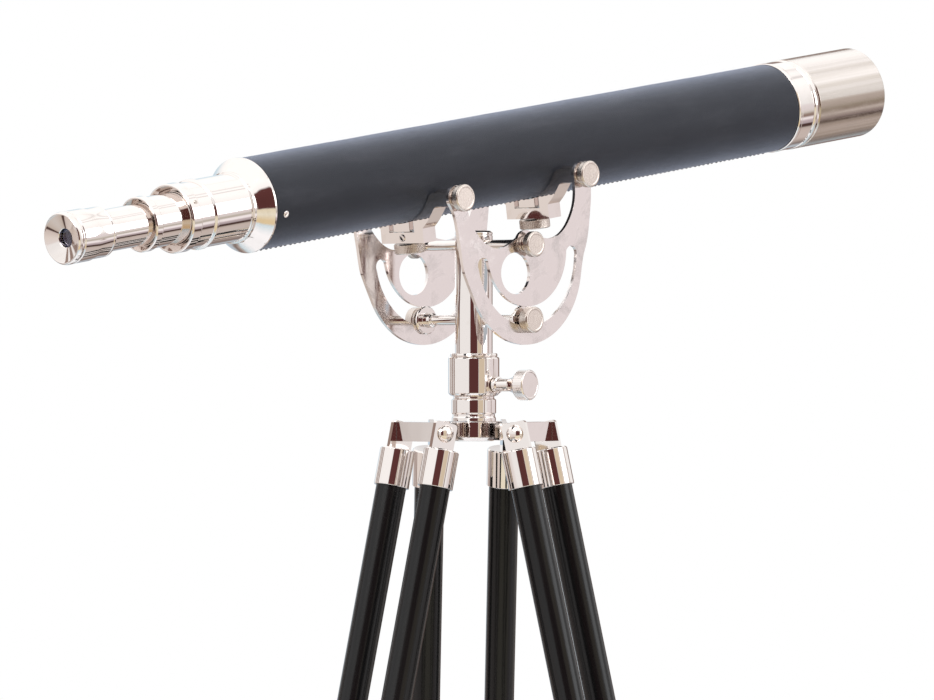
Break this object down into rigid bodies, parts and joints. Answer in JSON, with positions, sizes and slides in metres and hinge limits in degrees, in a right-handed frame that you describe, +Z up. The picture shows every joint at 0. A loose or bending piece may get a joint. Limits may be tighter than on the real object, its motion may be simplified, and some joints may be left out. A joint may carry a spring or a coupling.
{
  "type": "telescope",
  "caption": "Refracting telescope with a black leather-covered barrel and nickel-plated draw tubes, on an altazimuth yoke and a tall tripod of black wooden twin-rod legs.",
  "frame": {"origin": "middle of the whole object's footprint box, on the floor; the tripod's vertical axis stands 12 mm to -X and 15 mm to -Y of it", "axes": "+Z up; +Y towards leg 1; the objective points towards +X +Y, 40.5 degrees from +X, pitched up 8.5 degrees"},
  "size_m": [0.7644, 0.6719, 1.6494],
  "materials": {
    "polished_nickel": "mirror-polished nickel plate over brass, slightly warm",
    "satin_nickel": "nickel plate over cast or knurled brass, satin with faint rub marks",
    "brushed_nickel": "nickel plate brushed along the tube",
    "black_leather": "smooth black leather with a fine grain, stitched underneath",
    "black_wood": "black gloss lacquer over turned hardwood",
    "glass": "clear polished optical glass"
  },
  "bodies": {
    "tripod_head": {"hub_spider": "polished_nickel", "collar": "polished_nickel"},
    "post": {"post": "polished_nickel", "pivot_bar": "polished_nickel", "lock_bar": "polished_nickel"},
    "telescope": {"yoke_plate_right": "satin_nickel", "yoke_plate_left": "satin_nickel", "saddle_front": "polished_nickel", "saddle_rear": "polished_nickel", "barrel_foot_front": "polished_nickel", "barrel_foot_rear": "polished_nickel", "barrel_tube": "polished_nickel", "leather_cover": "black_leather", "rear_bell": "polished_nickel", "objective_cell": "polished_nickel", "objective_lens": "glass", "sunshade": "brushed_nickel"},
    "draw_tube_2": {"draw_tube_2": "polished_nickel"},
    "draw_tube_1": {"draw_tube_1": "polished_nickel", "erector_lens": "glass", "eyecup": "polished_nickel", "eye_lens": "glass"},
    "pan_lock": {"pan_lock_screw": "polished_nickel"},
    "pivot_knob_right": {"pivot_knob_right": "satin_nickel"},
    "lock_knob_right": {"lock_knob_right": "satin_nickel"},
    "pivot_knob_left": {"pivot_knob_left": "satin_nickel"},
    "lock_knob_left": {"lock_knob_left": "satin_nickel"},
    "saddle_screw_front": {"saddle_screw_front": "satin_nickel"},
    "horn_knob_front_right": {"horn_knob_front_right": "satin_nickel"},
    "horn_knob_front_left": {"horn_knob_front_left": "satin_nickel"},
    "saddle_screw_rear": {"saddle_screw_rear": "satin_nickel"},
    "horn_knob_rear_right": {"horn_knob_rear_right": "satin_nickel"},
    "horn_knob_rear_left": {"horn_knob_rear_left": "satin_nickel"},
    "leg_1_upper": {"leg_1_ferrule_right": "polished_nickel", "leg_1_ferrule_left": "polished_nickel", "leg_1_upper_rod_right": "black_wood", "leg_1_upper_rod_left": "black_wood", "leg_1_hinge_bolt": "polished_nickel", "leg_1_bracket": "polished_nickel"},
    "leg_1_lower": {"leg_1_lower_rod": "black_wood", "leg_1_foot": "polished_nickel"},
    "leg_1_clamp": {"leg_1_clamp_screw": "satin_nickel"},
    "leg_2_upper": {"leg_2_ferrule_right": "polished_nickel", "leg_2_ferrule_left": "polished_nickel", "leg_2_upper_rod_right": "black_wood", "leg_2_upper_rod_left": "black_wood", "leg_2_hinge_bolt": "polished_nickel", "leg_2_bracket": "polished_nickel"},
    "leg_2_lower": {"leg_2_lower_rod": "black_wood", "leg_2_foot": "polished_nickel"},
    "leg_2_clamp": {"leg_2_clamp_screw": "satin_nickel"},
    "leg_3_upper": {"leg_3_ferrule_right": "polished_nickel", "leg_3_ferrule_left": "polished_nickel", "leg_3_upper_rod_right": "black_wood", "leg_3_upper_rod_left": "black_wood", "leg_3_hinge_bolt": "polished_nickel", "leg_3_bracket": "polished_nickel"},
    "leg_3_lower": {"leg_3_lower_rod": "black_wood", "leg_3_foot": "polished_nickel"},
    "leg_3_clamp": {"leg_3_clamp_screw": "satin_nickel"}
  },
  "joints": [
    {"name": "pan", "type": "hinge", "parent": "tripod_head", "child": "post", "pos_m": [-0.0116, -0.0154, 1.3505], "axis": [0, 0, 1], "continuous": true},
    {"name": "tilt", "type": "hinge", "parent": "post", "child": "telescope", "pos_m": [-0.0116, -0.0154, 1.4685], "axis": [0.6494, -0.7604, 0], "range_deg": [-28.5, 11.5]},
    {"name": "draw_2_slide", "type": "slide", "parent": "telescope", "child": "draw_tube_2", "axis": [0.7521, 0.6423, 0.1478], "range_m": [-0.04, 0.027]},
    {"name": "draw_1_slide", "type": "slide", "parent": "draw_tube_2", "child": "draw_tube_1", "axis": [0.7521, 0.6423, 0.1478], "range_m": [-0.06, 0.04]},
    {"name": "pan_lock_turn", "type": "hinge", "parent": "tripod_head", "child": "pan_lock", "pos_m": [-0.0116, -0.0154, 1.351], "axis": [0.7604, -0.6494, 0], "continuous": true},
    {"name": "pivot_knob_right_turn", "type": "hinge", "parent": "post", "child": "pivot_knob_right", "pos_m": [0.03126, -0.06559, 1.4685], "axis": [0.6494, -0.7604, 0], "continuous": true},
    {"name": "lock_knob_right_turn", "type": "hinge", "parent": "post", "child": "lock_knob_right", "pos_m": [0.03126, -0.06559, 1.4055], "axis": [0.6494, -0.7604, 0], "continuous": true},
    {"name": "pivot_knob_left_turn", "type": "hinge", "parent": "post", "child": "pivot_knob_left", "pos_m": [-0.05446, 0.03479, 1.4685], "axis": [-0.6494, 0.7604, 0], "continuous": true},
    {"name": "lock_knob_left_turn", "type": "hinge", "parent": "post", "child": "lock_knob_left", "pos_m": [-0.05446, 0.03479, 1.4055], "axis": [-0.6494, 0.7604, 0], "continuous": true},
    {"name": "saddle_screw_front_turn", "type": "hinge", "parent": "telescope", "child": "saddle_screw_front", "pos_m": [0.04496, 0.0329, 1.48771], "axis": [0.1124, 0.096, -0.989], "continuous": true},
    {"name": "horn_knob_front_right_turn", "type": "hinge", "parent": "telescope", "child": "horn_knob_front_right", "pos_m": [0.08191, -0.0197, 1.52825], "axis": [0.6494, -0.7604, 0], "continuous": true},
    {"name": "horn_knob_front_left_turn", "type": "hinge", "parent": "telescope", "child": "horn_knob_front_left", "pos_m": [-0.00121, 0.07763, 1.52825], "axis": [-0.6494, 0.7604, 0], "continuous": true},
    {"name": "saddle_screw_rear_turn", "type": "hinge", "parent": "telescope", "child": "saddle_screw_rear", "pos_m": [-0.06996, -0.06524, 1.46512], "axis": [0.1124, 0.096, -0.989], "continuous": true},
    {"name": "horn_knob_rear_right_turn", "type": "hinge", "parent": "telescope", "child": "horn_knob_rear_right", "pos_m": [-0.033, -0.11784, 1.50567], "axis": [0.6494, -0.7604, 0], "continuous": true},
    {"name": "horn_knob_rear_left_turn", "type": "hinge", "parent": "telescope", "child": "horn_knob_rear_left", "pos_m": [-0.11613, -0.02051, 1.50567], "axis": [-0.6494, 0.7604, 0], "continuous": true},
    {"name": "leg_1_hinge", "type": "hinge", "parent": "tripod_head", "child": "leg_1_upper", "pos_m": [-0.0116, 0.0371, 1.3105], "axis": [-1, 0, 0], "range_deg": [0, 12.5]},
    {"name": "leg_1_slide", "type": "slide", "parent": "leg_1_upper", "child": "leg_1_lower", "axis": [0, -0.2164, 0.9763], "range_m": [0, 0.48]},
    {"name": "leg_1_clamp_turn", "type": "hinge", "parent": "leg_1_upper", "child": "leg_1_clamp", "pos_m": [-0.0116, 0.23055, 0.56725], "axis": [0, 0.9763, 0.2164], "continuous": true},
    {"name": "leg_2_hinge", "type": "hinge", "parent": "tripod_head", "child": "leg_2_upper", "pos_m": [-0.05707, -0.04165, 1.3105], "axis": [0.5, -0.866, 0], "range_deg": [0, 12.5]},
    {"name": "leg_2_slide", "type": "slide", "parent": "leg_2_upper", "child": "leg_2_lower", "axis": [0.1874, 0.1082, 0.9763], "range_m": [0, 0.48]},
    {"name": "leg_2_clamp_turn", "type": "hinge", "parent": "leg_2_upper", "child": "leg_2_clamp", "pos_m": [-0.2246, -0.13838, 0.56725], "axis": [-0.8455, -0.4881, 0.2164], "continuous": true},
    {"name": "leg_3_hinge", "type": "hinge", "parent": "tripod_head", "child": "leg_3_upper", "pos_m": [0.03387, -0.04165, 1.3105], "axis": [0.5, 0.866, 0], "range_deg": [0, 12.5]},
    {"name": "leg_3_slide", "type": "slide", "parent": "leg_3_upper", "child": "leg_3_lower", "axis": [-0.1874, 0.1082, 0.9763], "range_m": [0, 0.48]},
    {"name": "leg_3_clamp_turn", "type": "hinge", "parent": "leg_3_upper", "child": "leg_3_clamp", "pos_m": [0.2014, -0.13838, 0.56725], "axis": [0.8455, -0.4881, 0.2164], "continuous": true}
  ]
}
